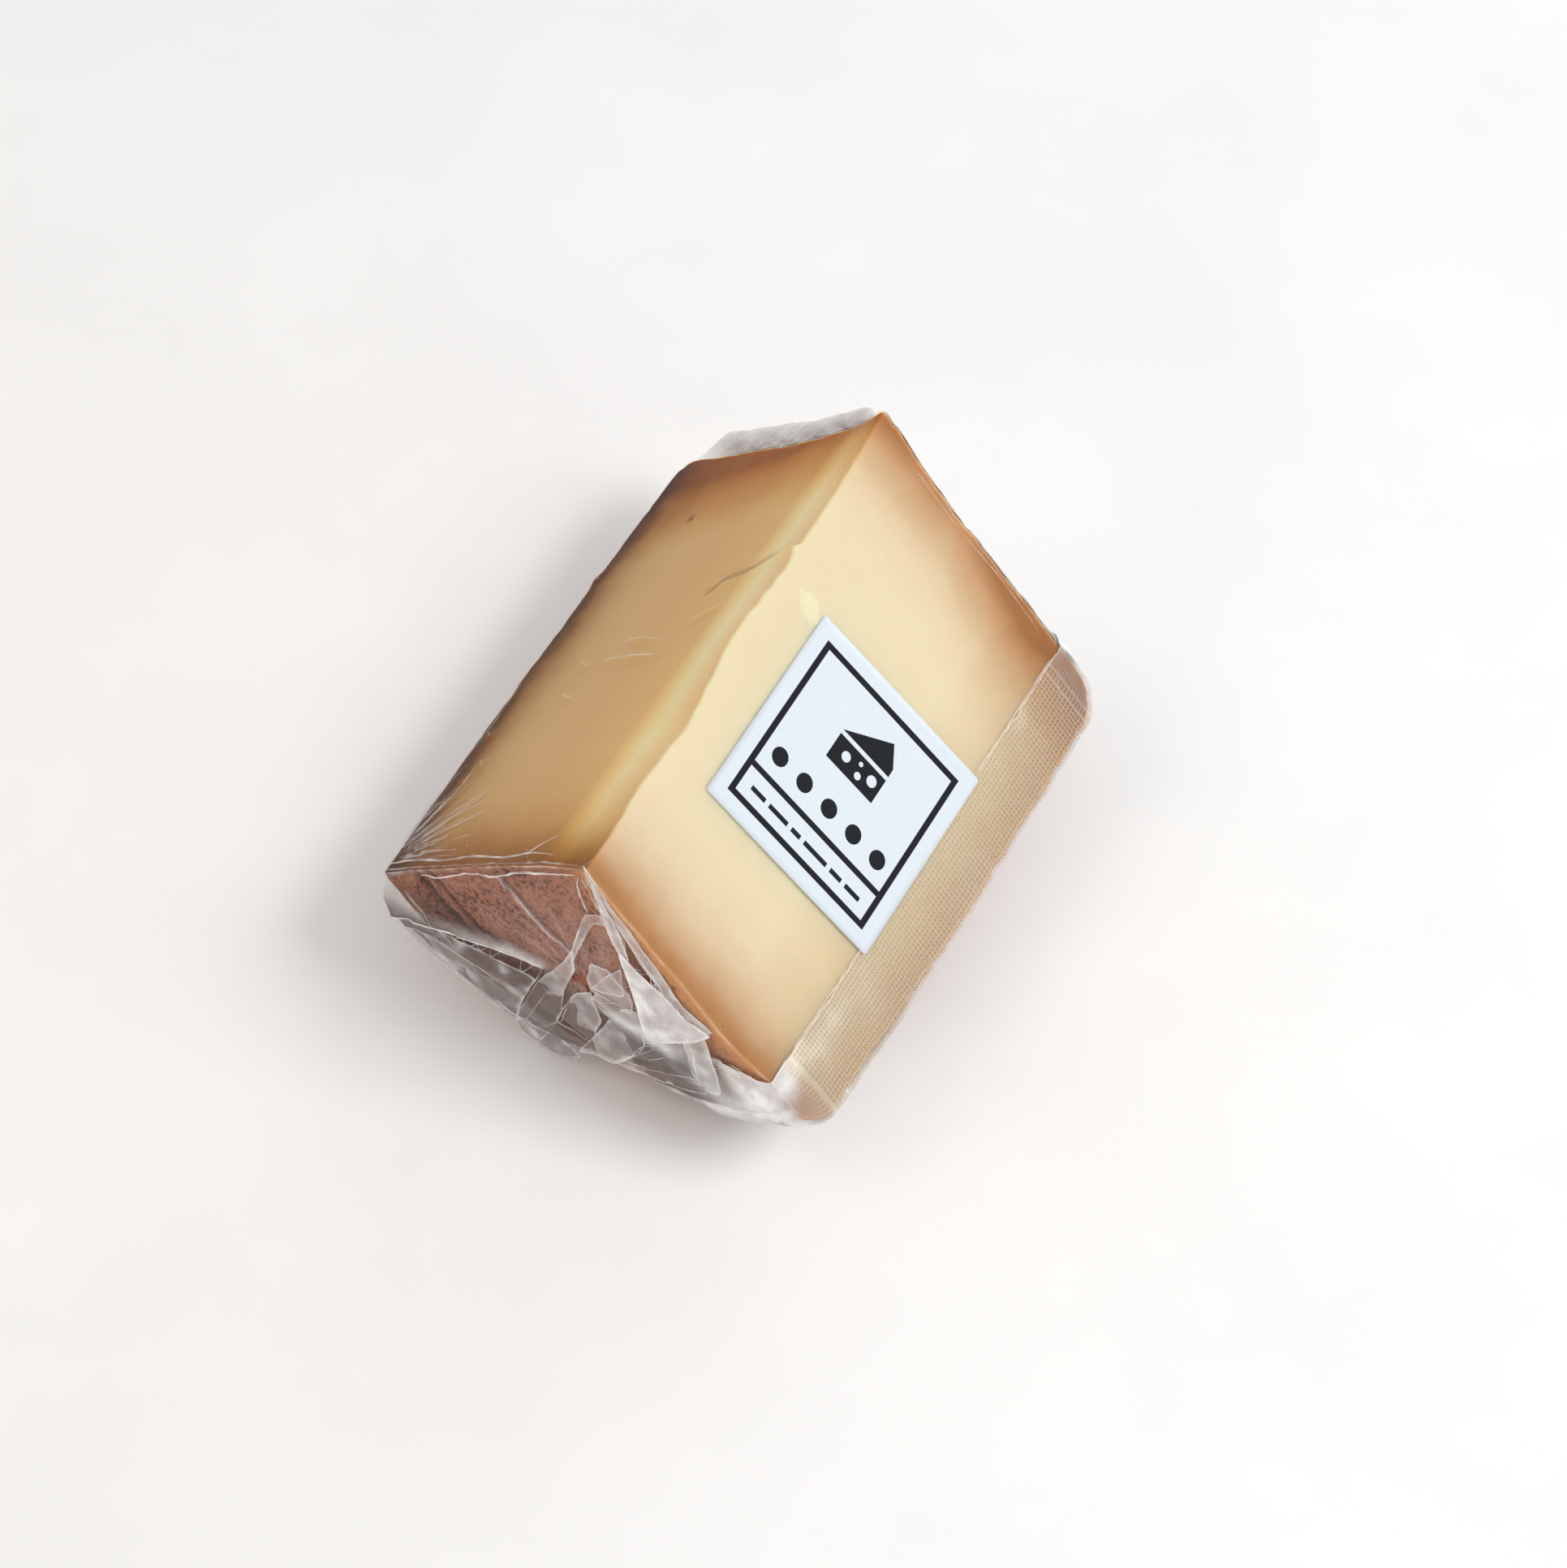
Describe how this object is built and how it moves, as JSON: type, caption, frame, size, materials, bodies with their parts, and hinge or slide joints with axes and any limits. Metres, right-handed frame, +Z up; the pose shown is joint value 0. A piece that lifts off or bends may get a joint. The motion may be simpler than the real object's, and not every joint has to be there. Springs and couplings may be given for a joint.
{
  "type": "film-wrapped quarter of a small cheese wheel",
  "caption": "Quarter of a small pressed cheese wheel, cut faces and rind, tight in clear stretch film with folded ends and a plain square paper label; lies on its rim.",
  "frame": {"origin": "on the surface that the portion lies on, under the middle of the wrap's bounding box", "axes": "+X along the wheel's axis, from one rind face to the other; +Y towards the plain cut face's side; +Z up, towards the sharp edge where the two cuts meet"},
  "size_m": [0.1114, 0.0892, 0.06],
  "materials": {
    "cheese": "smooth cut cheese paste, pale cream, going tan and brown towards a matt pinkish-brown rind",
    "film": "clear glossy stretch film, whiter where it is folded",
    "label_paper": "matt coated white paper with a printed dark frame"
  },
  "bodies": {
    "root": {"cheese_quarter": "cheese", "film_wrap": "film", "label": "label_paper"}
  },
  "joints": []
}
